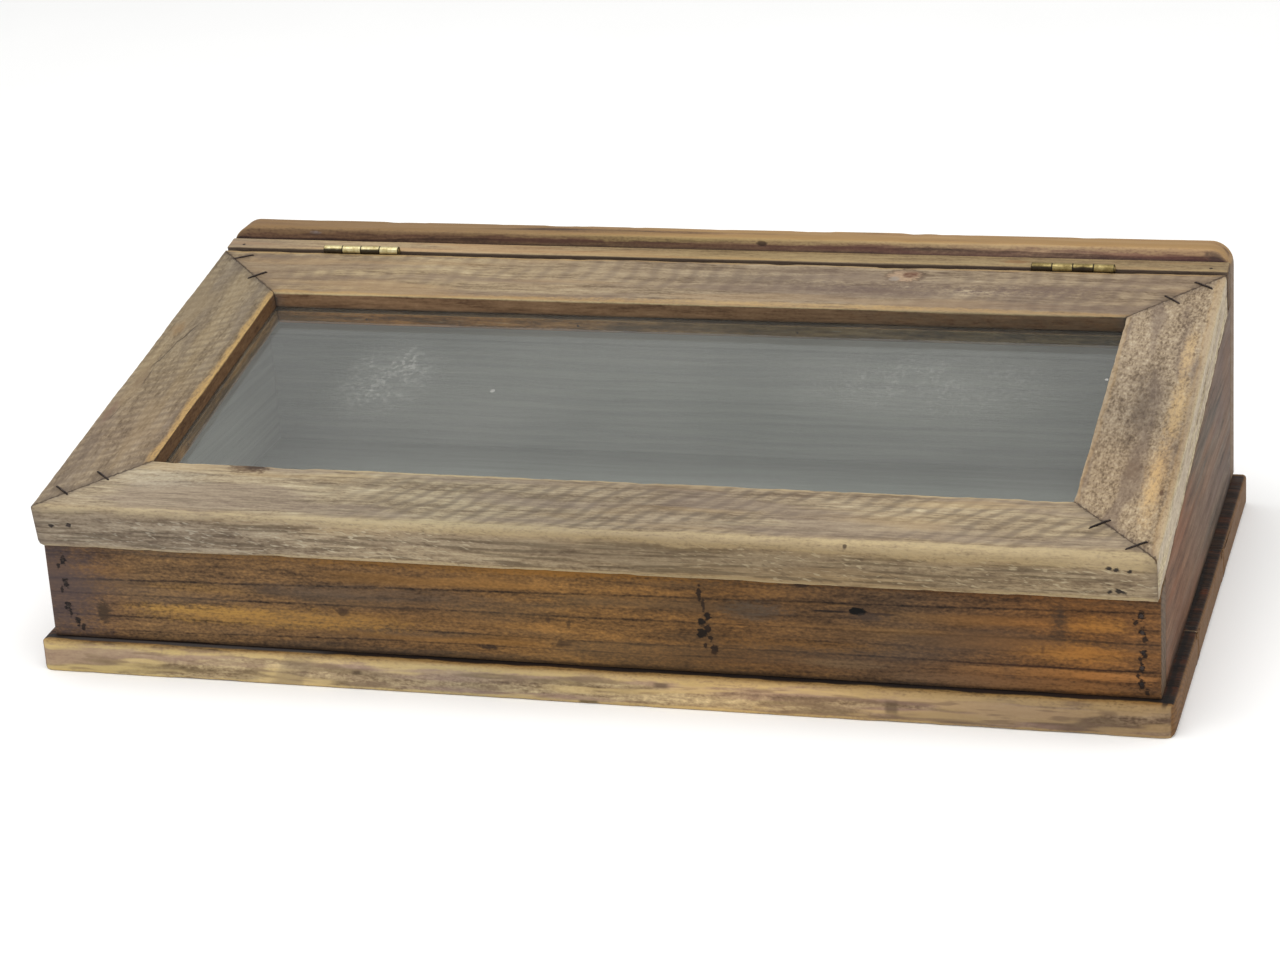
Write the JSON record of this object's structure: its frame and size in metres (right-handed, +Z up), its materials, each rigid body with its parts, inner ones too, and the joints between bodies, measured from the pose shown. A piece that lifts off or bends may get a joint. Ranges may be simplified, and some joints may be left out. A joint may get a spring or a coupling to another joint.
{
  "type": "tabletop display case",
  "caption": "Low wooden tabletop case with a sloping glazed lid that hinges up from the back, for showing small objects under glass.",
  "frame": {"origin": "centre of the bounding box's underside, on the table", "axes": "+X to the right along the case, +Y towards the hinged back, +Z up; the low front edge of the lid faces -Y"},
  "size_m": [0.666, 0.3512, 0.172],
  "materials": {
    "lid_wood": "rough sawn, weathered grey-tan, unsealed",
    "board_wood": "planed, dark brown stain with orange streaks, satin wax",
    "base_wood": "worn, tan with dark brown top",
    "bead_wood": "brown stain",
    "grey_floor": "flat grey paint",
    "glass": "clear float glass with faint wipe marks",
    "brass": "aged, dull",
    "steel": "dark, slightly rusty"
  },
  "bodies": {
    "case": {"base_plank_front": "base_wood", "base_plank_middle": "base_wood", "base_plank_rear": "base_wood", "front_board": "board_wood", "left_side_board": "board_wood", "right_side_board": "board_wood", "back_board": "board_wood", "floor_panel": "grey_floor", "hinge_rail": "lid_wood", "base_screws": "steel", "front_board_nails": "steel", "back_board_nails": "steel", "hinge_rail_nails": "steel", "rail_leaf_left": "brass", "rail_leaf_right": "brass", "hinge_pin_left": "brass", "hinge_pin_right": "brass", "rail_leaf_screws": "brass"},
    "lid": {"lid_front_rail": "lid_wood", "lid_back_rail": "lid_wood", "lid_left_stile": "lid_wood", "lid_right_stile": "lid_wood", "glass_pane": "glass", "bead_front": "bead_wood", "bead_back": "bead_wood", "bead_left": "bead_wood", "bead_right": "bead_wood", "bead_pins": "steel", "mitre_staples": "steel", "lid_front_brads": "steel", "lid_leaf_left": "brass", "lid_leaf_right": "brass", "lid_leaf_screws": "brass"}
  },
  "joints": [
    {"name": "lid_hinge", "type": "hinge", "parent": "case", "child": "lid", "pos_m": [0, 0.14154, 0.1625], "axis": [-1, 0, 0], "range_deg": [0, 155]}
  ]
}
